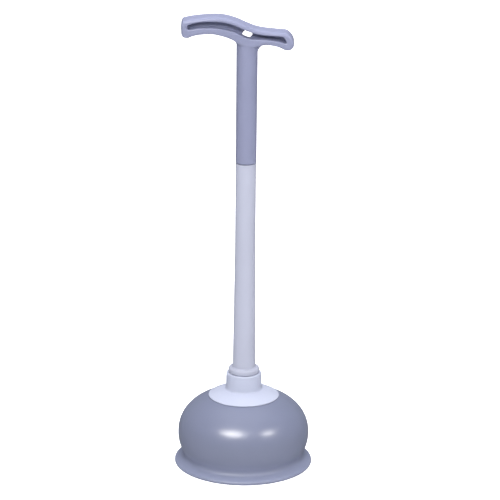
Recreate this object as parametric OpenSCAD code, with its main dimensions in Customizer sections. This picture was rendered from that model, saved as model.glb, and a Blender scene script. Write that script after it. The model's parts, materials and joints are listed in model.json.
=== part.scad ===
// Toilet plunger: a rubber bell, a flanged collar, a hollow tapered shaft and a
// T-shaped grip, clamped together by one screw from inside the bell.
// Origin: centre of the ring that the lip seals on. +Z runs up the shaft.

/* [Bell] */
// Radius of the lip at its widest
lip_r = 76; // [62:0.5:95]
// Thickness of the lip's rounded edge
lip_t = 4.6; // [3:0.1:7]
// Width of the flat ring that the lip seals with
seal_w = 4.5; // [2:0.1:8]
// How far the bell's widest level stands in from the lip's edge
belly_inset = 3.7; // [1:0.1:8]
// Height of the widest level
belly_z = 35.4; // [28:0.1:50]
// Height of the crown above the widest level
crown_h = 48.2; // [38:0.1:64]
// Squareness of the bell's outline, where 2 is an ellipse
belly_n = 2.19; // [2:0.01:2.6]
// Height of the crease where the bell flares out into the lip
crease_z = 9.8; // [7:0.1:16]
// Rubber thickness at the belly
bell_wall = 3.4; // [2.4:0.1:5]
// Radius of the thick boss under the crown
boss_r = 27; // [20:0.5:34]
// Rubber thickness of the boss, measured under the gasket
boss_t = 5.6; // [3:0.1:9]

/* [Collar] */
// Radius of the flange that covers the crown
flange_r = 38.4; // [30:0.1:48]
// Flange thickness at its edge
flange_edge_t = 1.7; // [1:0.1:3]
// Flange thickness at the foot of the neck
flange_root_t = 3.3; // [2:0.1:6]
// Wall of the neck around the socket, at the neck's foot
neck_wall = 3.55; // [2:0.05:7]
// Neck height above the socket floor
neck_h = 17; // [10:0.5:30]
// Thickness of the floor under the socket
floor_t = 5.4; // [3:0.1:9]
// Neck draft on the radius
neck_draft = 0.4; // [0:0.05:1]

/* [Shaft] */
// Shaft radius above the taper
shaft_r = 11.07; // [9:0.01:13.4]
// Growth of the shaft's radius down to its foot
foot_flare = 1.38; // [0:0.01:2.5]
// Length of the taper above the bead
taper_l = 138; // [60:1:200]
// Length of the shaft from its bead to the grip
shaft_l = 232; // [100:1:500]
// Wall of the tube
shaft_wall = 2.2; // [1.5:0.1:3]
// Radius of the spigot that goes into the collar
spigot_r = 15.9; // [13.2:0.1:19.1]
// Wall of the spigot around the insert
spigot_wall = 3.4; // [2:0.1:5]
// How far the stop bead stands out from the spigot
bead_step = 1.1; // [0.5:0.1:2.4]
// Height of the stop bead
bead_h = 6.8; // [4:0.1:10]
// How far the stub for the grip steps in from the shaft
stub_step = 1.87; // [1.5:0.01:2.5]
// Wall of the stub
stub_wall = 2; // [1.5:0.1:3]
// Length of the stub
stub_l = 50; // [20:1:90]

/* [Grip] */
// How far the grip's stem stands out from the shaft
stem_step = 0.2; // [0:0.01:1]
// Growth of the stem's radius towards the bar
stem_draft = 0.15; // [0:0.01:0.4]
// Length of the stem from the shaft to the hanging hole
stem_l = 141.6; // [90:0.1:260]
// Reach of the left arm from the stem's axis
left_arm = 70; // [58:0.5:85]
// Reach of the right arm from the stem's axis
right_arm = 50.8; // [42:0.2:62]
// Depth of the bar from front to back
bar_depth = 23.6; // [19.6:0.1:30]
// Radius along the edges of the bar
bar_edge_r = 3; // [1:0.1:4]
// Thickness of the web between the front and back channels
web_t = 3; // [2:0.1:5]
// Radius of the hanging hole
hang_r = 5.6; // [4:0.1:6.8]

/* [Clamp] */
// Thread radius of the clamp screw
screw_r = 3.95; // [2.95:0.05:4.95]
// Length of the screw under its head
screw_l = 37; // [32:0.5:48]
// Width of the hexagon head across its flats
head_af = 13; // [10:0.5:16]
// Height of the hexagon head
head_h = 5.3; // [4:0.1:7]
// Radius of the backing plate inside the bell
plate_r = 25; // [18:0.5:26]
// Thickness of the backing plate
plate_t = 3; // [2:0.1:5]
// Outer radius of the flat washer
washer_r = 10.5; // [9:0.5:14]
// Thickness of the flat washer
washer_t = 1.6; // [1:0.1:2.5]
// Outer radius of the spring washer
spring_washer_r = 7.4; // [7:0.1:8.5]
// Thickness of the spring washer
spring_washer_t = 2; // [1.2:0.1:3]
// Thickness of the gasket between the collar and the bell
gasket_t = 1.5; // [1:0.1:3]
// Radius of the gasket
gasket_r = 17; // [12:0.5:17.5]

/* [Fits] */
// Gap between the flange and the rubber crown
crown_gap = 0.3; // [0.1:0.05:0.6]
// Radial clearance of the spigot in the collar
spigot_gap = 0.15; // [0.05:0.05:0.4]
// Radial clearance of parts that are pushed together
push_gap = 0.05; // [0.02:0.01:0.1]
// Radial clearance of the screw in a plain hole
screw_gap = 0.55; // [0.2:0.05:1]
// Visible gap between the collar and the stop bead
bead_gap = 0.7; // [0.2:0.1:1.5]
// Visible gap between the shaft and the grip
seam_gap = 0.4; // [0.2:0.1:1]

/* [Hidden] */

fine = 96;
curve_steps = 22;
eps = 0.01;

rubber = [0.50, 0.53, 0.63];
grip_grey = [0.58, 0.60, 0.70];
pale = [0.86, 0.87, 0.93];
steel = [0.72, 0.72, 0.74];
dark_rubber = [0.20, 0.20, 0.22];

// Height of the bell's outer surface at radius r, with the surface grown by g
function bell_z(r, g = 0) =
    belly_z + (crown_h + g) * pow(1 - pow(r / (belly_r + g), belly_n), 1 / belly_n);

// Point of a bell-shaped outline at angle t, from below the belly (t < 0) to the crown (90)
function bell_point(a, h, t) =
    [a * pow(cos(t), 2 / belly_n), belly_z + sign(t) * h * pow(abs(sin(t)), 2 / belly_n)];

// Angle at which such an outline stands at height z, and at radius r above the belly
function bell_angle_z(h, z) = sign(z - belly_z) * asin(pow(abs(z - belly_z) / h, belly_n / 2));
function bell_angle_r(a, r) = acos(pow(r / a, belly_n / 2));

// Stretch of a bell-shaped outline
function bell_arc(a, h, t0, t1) =
    [for (i = [0 : curve_steps]) bell_point(a, h, t0 + (t1 - t0) * i / curve_steps)];

// Arc of radius r about c, from angle a0 to a1
function arc(c, r, a0, a1, steps = 6) =
    [for (i = [0 : steps]) let (a = a0 + (a1 - a0) * i / steps) c + r * [cos(a), sin(a)]];

// Smooth closed curve through the knots k, with s points from each knot to the next
function spline(p0, p1, p2, p3, t) =
    0.5 * (2 * p1 + (p2 - p0) * t + (2 * p0 - 5 * p1 + 4 * p2 - p3) * t * t
           + (3 * p1 - p0 - 3 * p2 + p3) * t * t * t);
function closed_curve(k, s) =
    let (n = len(k))
    [for (i = [0 : n - 1]) for (j = [0 : s - 1])
        spline(k[(i + n - 1) % n], k[i], k[(i + 1) % n], k[(i + 2) % n], j / s)];

// Smooth open curve through the knots k
function open_curve(k, s) =
    let (n = len(k))
    concat([for (i = [0 : n - 2]) for (j = [0 : s - 1])
        spline(k[max(i - 1, 0)], k[i], k[i + 1], k[min(i + 2, n - 1)], j / s)], [k[n - 1]]);

// The same points in the opposite order
function reversed(p) = [for (i = [len(p) - 1 : -1 : 0]) p[i]];

// Closed anticlockwise outline moved inwards by d
function inset(p, d) =
    let (n = len(p))
    [for (i = [0 : n - 1])
        let (e = p[(i + 1) % n] - p[(i + n - 1) % n])
        p[i] + d * [-e.y, e.x] / norm(e)];

// Radii that follow from the piece they fit
belly_r = lip_r - belly_inset;
socket_r = spigot_r + spigot_gap;
neck_r = socket_r + neck_wall;
bead_r = spigot_r + bead_step;
insert_r = spigot_r - spigot_wall;
shaft_foot_r = shaft_r + foot_flare;
stub_r = shaft_r - stub_step;
stem_r = shaft_r + stem_step;
screw_hole_r = screw_r + screw_gap;

// Levels, each worked out from the one it stands on
floor_z = bell_z(gasket_r + 1) + crown_gap;
seat_z = floor_z + floor_t;
neck_top = seat_z + neck_h;
bead_z = neck_top + bead_gap;
bead_top = bead_z + bead_h;
seam_z = bead_top + shaft_l;
stub_top = seam_z + stub_l;
hole_z = seam_z + stem_l;
gasket_z = floor_z - gasket_t;
boss_z = gasket_z - boss_t;
plate_z = boss_z - plate_t;
washer_z = plate_z - washer_t;
spring_z = washer_z - spring_washer_t;
head_z = spring_z - head_h;
screw_top = spring_z + screw_l;
insert_top = screw_top + 2;

// Ring-shaped solid between two radii and two heights
module ring(r_in, r_out, z0, z1) {
    translate([0, 0, z0])
    difference() {
        cylinder(r = r_out, h = z1 - z0, $fn = fine);
        translate([0, 0, -eps])
        cylinder(r = r_in, h = z1 - z0 + 2 * eps, $fn = fine);
    }
}

// Rubber bell with its lip, its crown recess for the gasket and its inner boss
module cup() {
    edge_r = lip_t / 2;
    throat_drop = 1.5;
    outer = bell_arc(belly_r, crown_h, bell_angle_z(crown_h, crease_z),
                     bell_angle_r(belly_r, gasket_r + 1));
    inner_a = belly_r - bell_wall;
    inner_h = (boss_z - belly_z) / pow(1 - pow(boss_r / inner_a, belly_n), 1 / belly_n);
    inner_low = bell_arc(inner_a, crown_h, bell_angle_z(crown_h, crease_z - throat_drop), 0);
    inner_high = bell_arc(inner_a, inner_h, 2, bell_angle_r(inner_a, boss_r));
    lip_edge = arc([lip_r - edge_r, edge_r], edge_r, -90, 60);
    color(rubber)
    rotate_extrude($fn = fine)
    polygon(concat(
        [[screw_hole_r, boss_z]],
        reversed(inner_high),
        reversed(inner_low),
        [[lip_r - edge_r - seal_w, 0]],
        lip_edge,
        outer,
        [[gasket_r + 1, gasket_z], [screw_hole_r, gasket_z]]));
}

// Moulded plate that spreads the clamp load on the boss, with a rim and stiffening ribs
module backing_plate() {
    rim_w = 2.2;
    rim_h = 1.6;
    rib_w = 2;
    rib_count = 6;
    color(pale) {
        ring(screw_hole_r, plate_r, plate_z, boss_z);
        ring(plate_r - rim_w, plate_r, plate_z - rim_h, plate_z);
        for (i = [0 : rib_count - 1])
            rotate(i * 360 / rib_count)
            translate([washer_r + 1, -rib_w / 2, plate_z - rim_h])
            cube([plate_r - rim_w / 2 - washer_r - 1, rib_w, rim_h]);
    }
}

module flat_washer() {
    color(steel) ring(screw_hole_r, washer_r, washer_z, plate_z);
}

// Split washer, with its gap on the +X side
module spring_washer() {
    split_w = 1.2;
    color(steel)
    difference() {
        ring(screw_r + 0.3, spring_washer_r, spring_z, washer_z);
        translate([0, -split_w / 2, spring_z - eps])
        cube([spring_washer_r + 1, split_w, spring_washer_t + 2 * eps]);
    }
}

// Hexagon-head screw with a chamfered head and point
module clamp_screw() {
    point_h = 1.2;
    color(steel) {
        intersection() {
            translate([0, 0, head_z])
            cylinder(r = head_af / sqrt(3), h = head_h, $fn = 6);
            translate([0, 0, head_z])
            cylinder(r1 = head_af / 2 - 0.3, r2 = head_af / 2 + head_h, h = head_h, $fn = fine);
        }
        rotate_extrude($fn = fine)
        polygon([[0, spring_z - head_h / 2], [screw_r, spring_z - head_h / 2],
                 [screw_r, screw_top - point_h], [screw_r - point_h, screw_top], [0, screw_top]]);
    }
}

module gasket() {
    color(dark_rubber) ring(screw_hole_r, gasket_r, gasket_z, floor_z);
}

// Collar: a flange that follows the crown, a neck and a socket for the shaft
module collar() {
    top_r = neck_r - neck_draft;
    lip_round = 1.3;
    root_round = 1.5;
    under = [for (i = [0 : curve_steps])
        let (r = gasket_r + 1 + (flange_r - gasket_r - 1) * i / curve_steps)
        [r, bell_z(r) + crown_gap]];
    edge_z = bell_z(flange_r) + crown_gap;
    over_r0 = flange_r - flange_edge_t / 2;
    over_r1 = neck_r + root_round;
    over = [for (i = [0 : curve_steps])
        let (s = i / curve_steps, r = over_r0 + (over_r1 - over_r0) * s)
        [r, bell_z(r) + crown_gap + flange_edge_t + (flange_root_t - flange_edge_t) * s]];
    root_z = over[curve_steps].y;
    color(pale)
    rotate_extrude($fn = fine)
    polygon(concat(
        [[screw_hole_r, floor_z]],
        under,
        arc([flange_r - flange_edge_t / 2, edge_z + flange_edge_t / 2], flange_edge_t / 2, -30, 60, 4),
        over,
        arc([neck_r + root_round, root_z + root_round], root_round, 262, 184, 4),
        arc([top_r - lip_round, neck_top - lip_round], lip_round, 0, 90),
        [[socket_r + 0.4, neck_top], [socket_r, neck_top - 0.4], [socket_r, seat_z],
         [screw_hole_r, seat_z]]));
}

// Threaded plug in the foot of the shaft, which the clamp screw pulls on
module shaft_insert() {
    flute_r = 1.1;
    flute_count = 8;
    color(steel)
    difference() {
        ring(screw_r + push_gap, insert_r - push_gap, seat_z, insert_top);
        for (i = [0 : flute_count - 1])
            rotate(i * 360 / flute_count)
            translate([insert_r, 0, seat_z + 4])
            cylinder(r = flute_r, h = insert_top - seat_z, $fn = 24);
    }
}

// Hollow shaft in one piece: spigot, stop bead, tapered tube and the stub for the grip
module shaft() {
    bead_round = bead_h / 2;
    bore_r = shaft_r - shaft_wall;
    stub_bore_r = stub_r - stub_wall;
    color(pale)
    rotate_extrude($fn = fine)
    polygon(concat(
        [[insert_r, seat_z], [spigot_r - 0.8, seat_z], [spigot_r, seat_z + 0.8],
         [spigot_r, neck_top - 1], [spigot_r - 0.9, neck_top - 0.4], [spigot_r - 0.9, bead_z]],
        arc([bead_r - bead_round, bead_z + bead_round], bead_round, -75, 80, 10),
        [[shaft_foot_r, bead_top], [shaft_r, bead_top + taper_l], [shaft_r, seam_z],
         [stub_r, seam_z], [stub_r, stub_top - 1], [stub_r - 1, stub_top],
         [stub_bore_r, stub_top], [stub_bore_r, seam_z - 6], [bore_r, seam_z - 6 - shaft_wall],
         [bore_r, bead_top + taper_l], [shaft_foot_r - shaft_wall, insert_top],
         [insert_r, insert_top]]));
}

// Outline of the bar, as heights about the hanging hole, anticlockwise seen from the front
bar_knots = [
    [-left_arm, 12.5], [-left_arm + 0.8, 5.5], [-left_arm + 5, -0.8], [-left_arm + 12, 0.4],
    [-left_arm + 24, 2.8], [-32, 2.6], [-22, 0], [-15, -3.8], [-8, -9], [0, -12.4], [7, -12],
    [14, -10], [21, -8.9], [right_arm - 17, -11], [right_arm - 9, -14.4],
    [right_arm - 3.4, -13.6], [right_arm - 0.4, -8.5], [right_arm - 2.2, -1.5],
    [right_arm - 8, 4.2], [right_arm - 17, 5.2], [19, 5.9], [9, 7.5], [0, 10.8],
    [-12.7, 16.5], [-23, 19.8], [-35, 21], [-left_arm + 18, 19.6], [-left_arm + 6, 17.6]];

// Outline of the yoke that flares the top of the stem into the underside of the bar
yoke_knots = [
    [-18, 0], [-16.4, -2.6], [-13.4, -5.4], [-stem_r - 0.3, -9.5], [-stem_r + 1, -14],
    [-stem_r + 3, -20], [0, -22], [stem_r - 3, -24], [stem_r - 0.6, -20], [stem_r + 0.9, -15.3],
    [14.6, -12], [18, -9.6], [16, -6], [0, -3]];
// Reach of the yoke to the front and to the back
yoke_h = stem_r * 0.55;

// Slice of an outline moved in by d, reaching h to the front and to the back
module slice(knots, d, h) {
    translate([0, h, hole_z])
    rotate([90, 0, 0])
    linear_extrude(height = 2 * h)
    polygon(inset(closed_curve(knots, 3), d));
}

// Bar with its long edges rounded in fine steps
module bar_body() {
    steps = 3;
    step_a = 90 / steps;
    flat_h = bar_depth / 2 - bar_edge_r;
    slice(bar_knots, 0, flat_h);
    for (a = [step_a : step_a : 90])
        slice(bar_knots, bar_edge_r * (1 - cos(a - step_a / 2)), flat_h + bar_edge_r * sin(a));
}

// Outline of the channel cut into the bar's front and back
channel_top = open_curve([[-left_arm + 7, 12.3], [-left_arm + 18, 15.4], [-35, 16.4], [-23, 15.2],
    [-12.7, 12], [1, 6.2], [10, 3.4], [20, 1.9], [right_arm - 12, 0.6]], 3);
channel_floor = open_curve([[-left_arm + 7, 7.3], [-left_arm + 18, 9], [-37, 9.4], [-25, 8.2],
    [-14, 5.3], [-5, 0.9], [1, -1.6], [10, -2.2], [20, -2.6], [right_arm - 16, -4.6],
    [right_arm - 8.6, -6.6]], 3);

module channel() {
    translate([0, 0, hole_z])
    rotate([90, 0, 0])
    linear_extrude(height = bar_depth)
    polygon(concat(channel_floor, reversed(channel_top)));
}

// Grip in one piece: T bar, hollow stem, socket for the shaft's stub and hanging hole
module grip() {
    foot_z = seam_z + seam_gap;
    core_r = stub_r - stub_wall - 0.2;
    core_top = hole_z - 24;
    color(grip_grey)
    difference() {
        union() {
            bar_body();
            slice(yoke_knots, 0, yoke_h);
            translate([0, 0, foot_z])
            cylinder(r1 = stem_r, r2 = stem_r + stem_draft, h = hole_z - 8 - foot_z, $fn = fine);
        }
        translate([0, 0, foot_z - eps])
        cylinder(r = stub_r + push_gap, h = stub_top - foot_z + eps, $fn = fine);
        translate([0, 0, foot_z])
        cylinder(r = core_r, h = core_top - foot_z, $fn = fine);
        translate([0, -web_t / 2, 0]) channel();
        translate([0, bar_depth + web_t / 2, 0]) channel();
        translate([0, bar_depth, hole_z])
        rotate([90, 0, 0])
        cylinder(r = hang_r, h = bar_depth + web_t / 2 + eps, $fn = fine);
    }
}

cup();
backing_plate();
flat_washer();
spring_washer();
clamp_screw();
gasket();
collar();
shaft_insert();
shaft();
grip();
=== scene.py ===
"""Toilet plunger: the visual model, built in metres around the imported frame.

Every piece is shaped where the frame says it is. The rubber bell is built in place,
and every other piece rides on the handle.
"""

from __future__ import annotations

import json
import logging
import math
from dataclasses import dataclass, field
from enum import Enum
from typing import Callable, Sequence

import bmesh
import bpy
from mathutils import Matrix, Vector

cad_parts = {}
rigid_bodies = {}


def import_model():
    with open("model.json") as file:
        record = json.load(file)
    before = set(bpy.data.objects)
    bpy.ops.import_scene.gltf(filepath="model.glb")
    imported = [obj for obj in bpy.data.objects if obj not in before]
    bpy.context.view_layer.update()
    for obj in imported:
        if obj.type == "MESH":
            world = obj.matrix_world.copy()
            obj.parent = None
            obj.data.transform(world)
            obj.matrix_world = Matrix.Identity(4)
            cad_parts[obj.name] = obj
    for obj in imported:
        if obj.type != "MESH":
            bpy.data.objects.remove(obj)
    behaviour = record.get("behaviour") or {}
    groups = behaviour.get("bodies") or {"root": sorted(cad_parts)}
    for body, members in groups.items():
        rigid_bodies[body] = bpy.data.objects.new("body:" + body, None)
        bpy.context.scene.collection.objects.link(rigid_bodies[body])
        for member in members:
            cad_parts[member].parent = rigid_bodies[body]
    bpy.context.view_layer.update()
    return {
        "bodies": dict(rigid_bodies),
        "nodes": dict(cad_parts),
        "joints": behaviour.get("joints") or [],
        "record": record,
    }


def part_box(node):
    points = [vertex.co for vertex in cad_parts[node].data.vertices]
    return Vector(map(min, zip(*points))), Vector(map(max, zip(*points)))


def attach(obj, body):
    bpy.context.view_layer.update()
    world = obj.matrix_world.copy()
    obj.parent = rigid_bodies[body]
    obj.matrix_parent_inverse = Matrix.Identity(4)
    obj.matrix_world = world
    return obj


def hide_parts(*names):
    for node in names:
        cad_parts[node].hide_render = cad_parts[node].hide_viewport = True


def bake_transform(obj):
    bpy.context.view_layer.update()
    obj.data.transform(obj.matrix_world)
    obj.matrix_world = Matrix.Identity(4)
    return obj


LOG = logging.getLogger("plunger")

MM = 0.001

Point2 = tuple[float, float]
Ring = list[Point2]
Rgb = tuple[float, float, float]


# ---------------------------------------------------------------- outlines


def arc(centre: Point2, radius: float, start: float, end: float, steps: int = 8) -> Ring:
    """Points of a circular arc.

    Args:
        centre: Centre of the arc.
        radius: Its radius.
        start: Angle of the first point, in degrees.
        end: Angle of the last point, in degrees.
        steps: Number of stretches between the points.

    Returns:
        The points, from start to end.
    """
    angles = [math.radians(start + (end - start) * i / steps) for i in range(steps + 1)]
    return [(centre[0] + radius * math.cos(a), centre[1] + radius * math.sin(a)) for a in angles]


def quarter(steps: int) -> list[tuple[float, float]]:
    """Inset and sink of a quarter round of radius 1, from its side (0, 1) to its face (1, 0)."""
    angles = [math.radians(90 * i / steps) for i in range(steps + 1)]
    return [(1 - math.cos(a), 1 - math.sin(a)) for a in angles]


def between(first: Vector, second: Vector, start: float, end: float, tick: float) -> Vector:
    """Place on the line from first to second that is reached at a tick."""
    return first.lerp(second, (tick - start) / (end - start))


def closed_curve(knots: Sequence[Point2], steps: int) -> Ring:
    """Smooth closed curve through the knots.

    Args:
        knots: Points that the curve passes through, in order.
        steps: Points on the curve from each knot to the next.

    Returns:
        The curve's points.
    """
    count = len(knots)
    points: Ring = []
    for i in range(count):
        near = [Vector(knots[(i + k) % count]) for k in (-1, 0, 1, 2)]
        ticks = [0.0]
        for first, second in zip(near, near[1:]):
            ticks.append(ticks[-1] + math.sqrt((second - first).length))
        for j in range(steps):
            t = ticks[1] + (ticks[2] - ticks[1]) * j / steps
            low = [between(near[k], near[k + 1], ticks[k], ticks[k + 1], t) for k in range(3)]
            mid = [between(low[k], low[k + 1], ticks[k], ticks[k + 2], t) for k in range(2)]
            point = between(mid[0], mid[1], ticks[1], ticks[2], t)
            points.append((point.x, point.y))
    return points


def grown(outline: Sequence[Point2], distance: float) -> Ring:
    """Anticlockwise closed outline moved outwards.

    Args:
        outline: The outline's points.
        distance: How far each point moves, negative for inwards.

    Returns:
        The moved points.
    """
    moved: Ring = []
    count = len(outline)
    for i, (x, z) in enumerate(outline):
        before, after = outline[i - 1], outline[(i + 1) % count]
        along = Vector((after[0] - before[0], after[1] - before[1])).normalized()
        moved.append((x + along.y * distance, z - along.x * distance))
    return moved


# ---------------------------------------------------------------- modelling


def clear_selection() -> None:
    """Leave edit mode and deselect everything."""
    if bpy.context.object and bpy.context.object.mode != "OBJECT":
        bpy.ops.object.mode_set(mode="OBJECT")
    bpy.ops.object.select_all(action="DESELECT")


def make_active(piece: bpy.types.Object) -> None:
    """Select one object alone and make it the active one."""
    clear_selection()
    piece.select_set(True)
    bpy.context.view_layer.objects.active = piece


def closed_loop(name: str, places: Sequence[Sequence[float]]) -> bpy.types.Object:
    """Add a circle primitive and shape it into a closed loop of edges.

    Args:
        name: Name of the new object.
        places: Where each of the loop's vertices goes.

    Returns:
        The new object, in object mode.
    """
    clear_selection()
    bpy.ops.mesh.primitive_circle_add(vertices=len(places), radius=MM, fill_type="NOTHING")
    loop = bpy.context.object
    loop.name = name
    loop.data.name = name
    for vertex, place in zip(loop.data.vertices, places):
        vertex.co = place
    return loop


def select_by(piece: bpy.types.Object, kind: str, test: Callable[..., bool]) -> None:
    """Select the vertices, edges or faces of a piece in edit mode that pass a test.

    Args:
        piece: The object in edit mode.
        kind: Which elements are tested: "VERT", "EDGE" or "FACE".
        test: Called with each element, true for those to select.
    """
    bpy.ops.mesh.select_mode(type=kind)
    bpy.ops.mesh.select_all(action="DESELECT")
    shape = bmesh.from_edit_mesh(piece.data)
    elements = {"VERT": shape.verts, "EDGE": shape.edges, "FACE": shape.faces}[kind]
    for element in elements:
        if test(element):
            element.select_set(True)
    shape.select_flush_mode()
    bmesh.update_edit_mesh(piece.data)


def close_up(merge: float = MM * 0.001) -> None:
    """Merge doubles and turn the faces outwards, with a piece in edit mode."""
    bpy.ops.mesh.select_all(action="SELECT")
    bpy.ops.mesh.remove_doubles(threshold=merge)
    bpy.ops.mesh.normals_make_consistent(inside=False)


def smooth(piece: bpy.types.Object, angle: float = 38.0) -> bpy.types.Object:
    """Shade a piece smooth up to an angle between its faces, in degrees."""
    make_active(piece)
    bpy.ops.object.shade_smooth_by_angle(angle=math.radians(angle))
    return piece


def turned(name: str, profile: Sequence[Point2], segments: int = 144) -> bpy.types.Object:
    """Spin a closed profile round the Z axis into a solid.

    Args:
        name: Name of the piece.
        profile: Closed outline as (radius, height) points.
        segments: Number of steps round the axis.

    Returns:
        The closed solid.
    """
    piece = closed_loop(name, [(radius, 0.0, height) for radius, height in profile])
    bpy.ops.object.mode_set(mode="EDIT")
    bpy.ops.mesh.select_all(action="SELECT")
    bpy.ops.mesh.spin(steps=segments, angle=math.tau, center=(0, 0, 0), axis=(0, 0, 1))
    close_up()
    bpy.ops.object.mode_set(mode="OBJECT")
    return smooth(piece)


def skinned(name: str, rings: Sequence[tuple[float, Ring]]) -> bpy.types.Object:
    """Extrude one outline through a row of rings and close both ends.

    Args:
        name: Name of the piece.
        rings: Pairs of a depth along Y and that ring's (x, z) points, all of one length.

    Returns:
        The closed solid.
    """
    depth, outline = rings[0]
    piece = closed_loop(name, [(x, depth, z) for x, z in outline])
    count = len(outline)
    bpy.ops.object.mode_set(mode="EDIT")
    bpy.ops.mesh.select_mode(type="VERT")
    bpy.ops.mesh.select_all(action="SELECT")
    for depth, outline in rings[1:]:
        bpy.ops.mesh.extrude_region()
        shape = bmesh.from_edit_mesh(piece.data)
        shape.verts.ensure_lookup_table()
        for vertex, (x, z) in zip(shape.verts[-count:], outline):
            vertex.co = (x, depth, z)
        bmesh.update_edit_mesh(piece.data)
    for end in (rings[0][0], rings[-1][0]):
        select_by(piece, "VERT", lambda v, y=end: abs(v.co.y - y) < MM * 0.01)
        bpy.ops.mesh.edge_face_add()
    close_up()
    bpy.ops.object.mode_set(mode="OBJECT")
    return piece


def join(piece: bpy.types.Object, others: Sequence[bpy.types.Object]) -> None:
    """Join other objects into a piece."""
    make_active(piece)
    for other in others:
        other.select_set(True)
    bpy.ops.object.join()


def modify(piece: bpy.types.Object, kind: str, **settings: object) -> None:
    """Add a modifier to a piece, set it and apply it.

    Args:
        piece: The piece that is changed.
        kind: Type of the modifier.
        settings: Values of the modifier's own properties.
    """
    make_active(piece)
    bpy.ops.object.modifier_add(type=kind)
    modifier = piece.modifiers[-1]
    for name, value in settings.items():
        setattr(modifier, name, value)
    bpy.ops.object.modifier_apply(modifier=modifier.name)


def combine(piece: bpy.types.Object, tool: bpy.types.Object, operation: str) -> None:
    """Apply a boolean with another solid, which is then removed.

    Args:
        piece: The solid that is changed.
        tool: The solid that is taken away, or that the piece is trimmed to.
        operation: "DIFFERENCE" or "INTERSECT".
    """
    modify(piece, "BOOLEAN", operation=operation, solver="EXACT", object=tool)
    make_active(tool)
    bpy.ops.object.delete()


def rounded_edges(piece: bpy.types.Object, width: float, segments: int = 3) -> None:
    """Bevel the sharp edges of a piece.

    Args:
        piece: The piece that is changed.
        width: Width of the bevel, in metres.
        segments: Steps across the bevel.
    """
    modify(
        piece, "BEVEL", width=width, segments=segments, limit_method="ANGLE",
        angle_limit=math.radians(40), harden_normals=False,
    )


# ---------------------------------------------------------------- finishes


class Family(Enum):
    """Kinds of surface, each with its own nodes."""

    RUBBER = "rubber"
    MOULDED = "moulded"
    METAL = "metal"


@dataclass(frozen=True)
class Finish:
    """One surface finish.

    Attributes:
        name: Start of the material's name.
        family: Kind of surface.
        colour: Base colour, linear RGB.
        roughness: Middle of the roughness range.
        spread: How far the roughness varies to either side.
        mottle: Share by which the colour varies over a few centimetres.
        grain: Size of the moulded grain, in metres.
        relief: Depth of that grain, in metres.
        specular: Specular level of the shader.
    """

    name: str
    family: Family
    colour: Rgb
    roughness: float
    spread: float = 0.05
    mottle: float = 0.05
    grain: float = 0.6 * MM
    relief: float = 0.02 * MM
    specular: float = 0.5

    def material(self) -> bpy.types.Material:
        """Build the finish's material, or return it if it is already there."""
        name = f"{self.name}_finish"
        found = bpy.data.materials.get(name)
        if found is not None:
            return found
        sheet = NodeSheet(name)
        sheet.shader.inputs["Roughness"].default_value = self.roughness
        sheet.shader.inputs["Specular IOR Level"].default_value = self.specular
        self._colour(sheet)
        self._roughness(sheet)
        self._relief(sheet)
        return sheet.material

    def _colour(self, sheet: "NodeSheet") -> None:
        """Vary the base colour over the piece, in two sizes of cloud, with painted light on the
        rubber's foot.
        """
        broad = sheet.noise(1 / (38 * MM), detail=2.0)
        fine = sheet.noise(1 / (2.2 * MM), detail=3.0)
        cloud = sheet.blend_values(broad, fine, 0.3)
        dark = tuple(c * (1 - self.mottle) for c in self.colour)
        light = tuple(min(1.0, c * (1 + self.mottle)) for c in self.colour)
        tint = sheet.ramp(cloud, [(0.3, dark), (0.7, light)])
        # The rubber's foot gets painted light: a lighter tint towards the lip that offsets the
        # shade there.
        if self.family is Family.RUBBER:
            tint = self._painted_light_foot(sheet, tint)
        sheet.link(tint, sheet.shader.inputs["Base Color"])
        if self.family is Family.METAL:
            sheet.shader.inputs["Metallic"].default_value = 1.0

    def _painted_light_foot(self, sheet: "NodeSheet", tint: bpy.types.NodeSocket) -> bpy.types.NodeSocket:
        """Paint the rubber lighter towards the lip: painted light that lifts the shade of the
        crease and of the belly's overhang.

        Args:
            sheet: The node sheet.
            tint: The colour so far.

        Returns:
            The colour with the paler foot mixed in.
        """
        mask = sheet.spread(sheet.height(), 1.0, 0.0, (8 * MM, 20 * MM))
        return sheet.mix_colours(mask, tint, tuple(min(1.0, c * 1.3) for c in self.colour))

    def _roughness(self, sheet: "NodeSheet") -> None:
        """Vary the roughness, so that a highlight breaks up a little."""
        cloud = sheet.noise(1 / (16 * MM), detail=5.0, roughness=0.6)
        low = max(0.02, self.roughness - self.spread)
        high = min(1.0, self.roughness + self.spread)
        roughness = sheet.spread(cloud, low, high)
        if self.family is Family.RUBBER:
            scuffs = sheet.spread(sheet.height(), 0.22, 0.0, (8 * MM, 22 * MM))
            roughness = sheet.add(roughness, scuffs)
        sheet.link(roughness, sheet.shader.inputs["Roughness"])

    def _relief(self, sheet: "NodeSheet") -> None:
        """Add the grain of the mould, or the drawn lines of plated metal."""
        stretch = (1.0, 1.0, 0.08) if self.family is Family.METAL else (1.0, 1.0, 1.0)
        grain = sheet.noise(1 / self.grain, detail=3.0, roughness=0.65, stretch=stretch)
        normal = sheet.bump(grain, self.relief)
        if self.family is Family.RUBBER:
            flow = sheet.noise(1 / (14 * MM), detail=1.0)
            normal = sheet.bump(flow, 0.12 * MM, normal)
        sheet.link(normal, sheet.shader.inputs["Normal"])


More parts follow.
